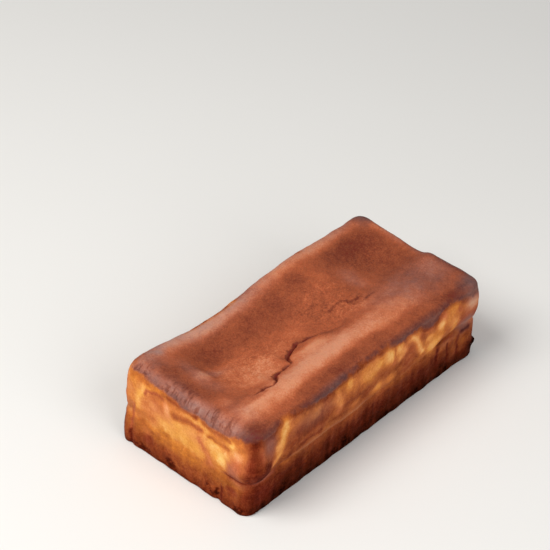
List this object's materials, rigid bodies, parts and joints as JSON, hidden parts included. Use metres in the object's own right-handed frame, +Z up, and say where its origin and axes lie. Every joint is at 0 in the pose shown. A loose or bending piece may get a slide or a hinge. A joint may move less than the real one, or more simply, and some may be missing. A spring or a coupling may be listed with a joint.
{
  "type": "baked cheesecake loaf",
  "caption": "Whole uncut oblong baked cheesecake with rounded edges, a sunken cracked brown top, marbled caramel sides with a low crease, and a flat underside.",
  "frame": {"origin": "middle of the flat underside", "axes": "+X along the length, +Y across the width, +Z up"},
  "size_m": [0.1798, 0.087, 0.0501],
  "materials": {
    "baked_crust": "baked cheesecake skin: satin brown top, marbled yellow and caramel sides, scorched dark brown foot"
  },
  "bodies": {
    "root": {"cheesecake": "baked_crust"}
  },
  "joints": []
}
